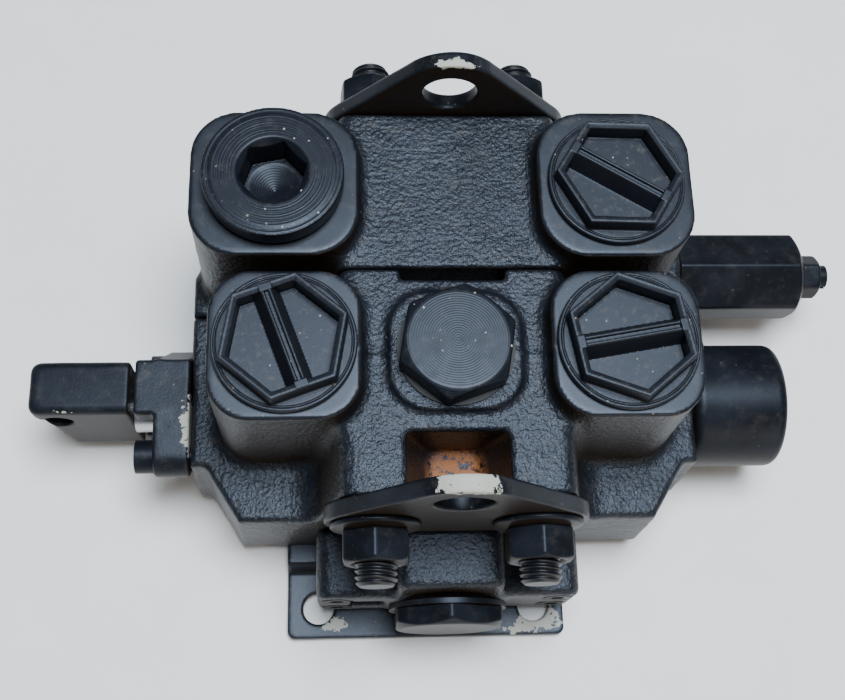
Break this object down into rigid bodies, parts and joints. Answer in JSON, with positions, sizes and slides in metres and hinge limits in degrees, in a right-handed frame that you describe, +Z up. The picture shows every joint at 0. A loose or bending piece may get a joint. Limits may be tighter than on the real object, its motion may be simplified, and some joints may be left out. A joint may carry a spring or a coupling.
{
  "type": "hydraulic directional valve",
  "caption": "Two-section hydraulic spool valve with plugged ports on top, eye plates at both ends, a relief valve, a detent cap and sheet feet.",
  "frame": {"origin": "centre of the four foot bolt holes, on the plane the feet stand on", "axes": "+X along the spool towards the detent cap, +Y from the end cover to the inlet section, +Z up through the ports"},
  "size_m": [0.2606, 0.1753, 0.1102],
  "materials": {
    "black_casting": "semi-gloss black paint over sand-cast iron",
    "black_steel": "black paint over machined and pressed steel",
    "turned_steel_plug": "black paint over turned rings",
    "black_plastic": "moulded black plastic",
    "ground_steel": "ground and hardened",
    "seal_rubber": "nitrile"
  },
  "bodies": {
    "housing": {"spool_section": "black_casting", "inlet_section": "black_casting", "end_cover": "black_casting", "section_seals": "seal_rubber", "end_cover_seal": "seal_rubber", "end_cover_screws": "black_steel", "end_plug": "black_steel", "end_plug_washer": "black_steel", "eye_plate_front": "black_steel", "eye_plate_rear": "black_steel", "tie_rods": "black_steel", "tie_rod_nuts": "black_steel", "tie_rod_washers": "black_steel", "foot_front": "black_steel", "foot_rear": "black_steel", "foot_screws": "black_steel", "port_plug_left": "black_plastic", "port_plug_right": "black_plastic", "outlet_port_plug": "black_plastic", "inlet_socket_plug": "turned_steel_plug", "inlet_plug_seal": "seal_rubber", "check_plug": "black_steel", "check_plug_seal": "seal_rubber", "check_spring": "ground_steel", "spool_wiper": "seal_rubber", "seal_cover": "black_casting", "seal_cover_screws": "black_steel", "detent_cap": "black_steel", "cap_seal": "seal_rubber", "detent_sleeve": "ground_steel", "detent_balls": "ground_steel", "detent_spring": "ground_steel", "relief_body": "black_steel", "relief_seal": "seal_rubber", "relief_seat": "ground_steel", "relief_spring": "ground_steel", "relief_locknut": "black_steel"},
    "spool": {"spool": "ground_steel", "spool_tongue": "black_steel", "tongue_pin": "ground_steel", "detent_rod": "ground_steel"},
    "load_check": {"check_poppet": "ground_steel"},
    "relief_cone": {"relief_poppet": "ground_steel"},
    "spring_seat": {"relief_spring_seat": "ground_steel"},
    "adjusting_screw": {"relief_adjuster": "black_steel"}
  },
  "joints": [
    {"name": "spool_slide", "type": "slide", "parent": "housing", "child": "spool", "axis": [-1, 0, 0], "range_m": [0, 0.014]},
    {"name": "load_check_lift", "type": "slide", "parent": "housing", "child": "load_check", "axis": [0, 0, 1], "range_m": [0, 0.005], "stiffness_N_per_m": 250, "springref_m": -0.004, "deforming": ["check_spring"]},
    {"name": "relief_cone_lift", "type": "slide", "parent": "housing", "child": "relief_cone", "axis": [1, 0, 0], "range_m": [0, 0.002], "stiffness_N_per_m": 2000, "springref_m": -0.003, "deforming": ["relief_spring"]},
    {"name": "spring_seat_travel", "type": "slide", "parent": "housing", "child": "spring_seat", "axis": [1, 0, 0], "range_m": [-0.001, 0.001], "deforming": ["relief_spring"]},
    {"name": "adjusting_screw_turn", "type": "hinge", "parent": "spring_seat", "child": "adjusting_screw", "pos_m": [0.12, 0.0283, 0.027], "axis": [1, 0, 0], "range_deg": [-360, 360]}
  ],
  "couplings": [
    {"joint": "adjusting_screw_turn", "follows": "spring_seat_travel", "rad_per_m": 6283.2}
  ]
}
